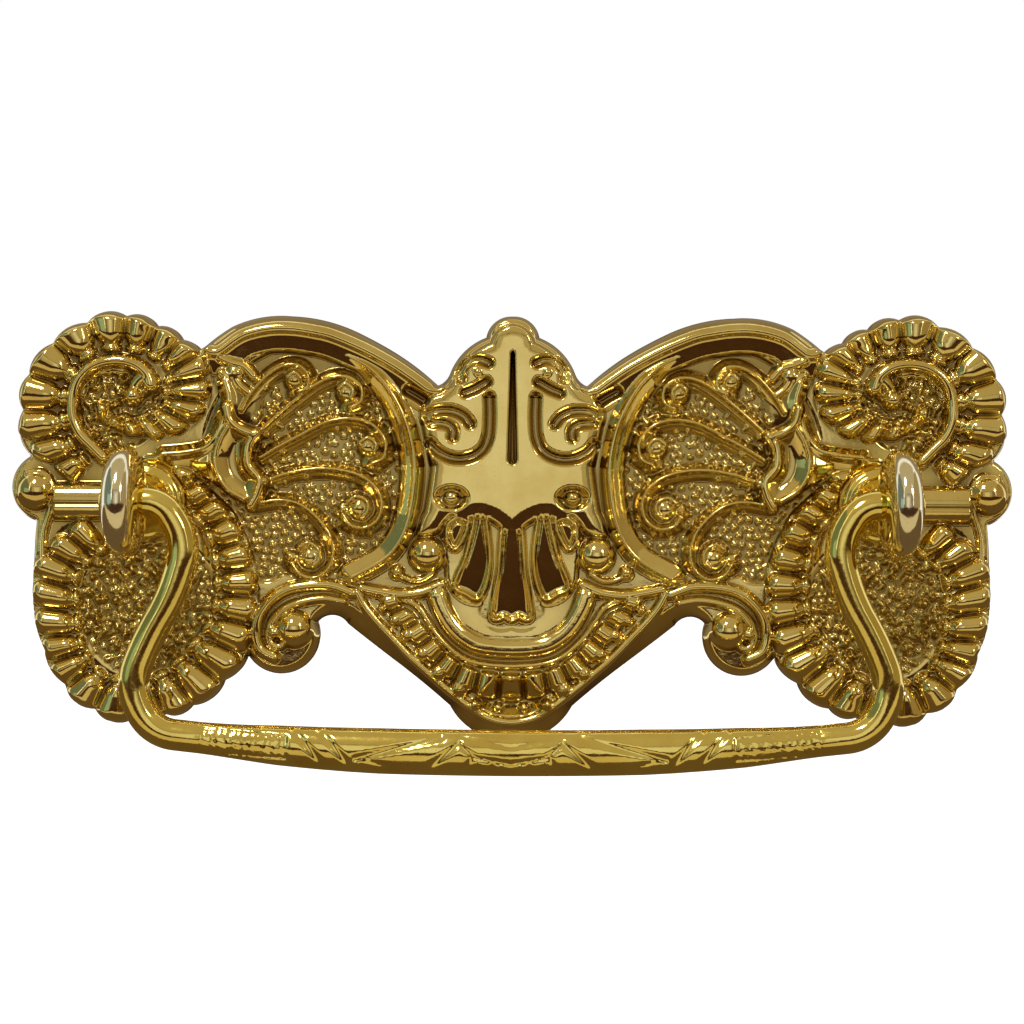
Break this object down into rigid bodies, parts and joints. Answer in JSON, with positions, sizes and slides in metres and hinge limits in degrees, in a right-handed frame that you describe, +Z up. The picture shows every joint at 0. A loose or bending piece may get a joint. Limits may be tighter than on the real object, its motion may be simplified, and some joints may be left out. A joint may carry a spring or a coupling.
{
  "type": "bail pull",
  "caption": "Drawer pull with a pressed brass plate of shells and scrolls, two eye posts through it and a swinging bail.",
  "frame": {"origin": "on the face of the drawer, midway between the two posts, at their height", "axes": "+X along the plate to the right seen from the front, +Y back through the drawer front, +Z up"},
  "size_m": [0.1046, 0.0451, 0.0469],
  "materials": {
    "plate_brass": "polished and lacquered",
    "cast_brass": "polished and lacquered"
  },
  "bodies": {
    "mounted_plate": {"backplate": "plate_brass", "left_post": "cast_brass", "right_post": "cast_brass", "left_nut": "cast_brass", "right_nut": "cast_brass"},
    "bail": {"bail": "cast_brass"}
  },
  "joints": [
    {"name": "bail_swing", "type": "hinge", "parent": "mounted_plate", "child": "bail", "pos_m": [0, -0.0126, 0], "axis": [-1, 0, 0], "range_deg": [-20, 204.5]}
  ]
}
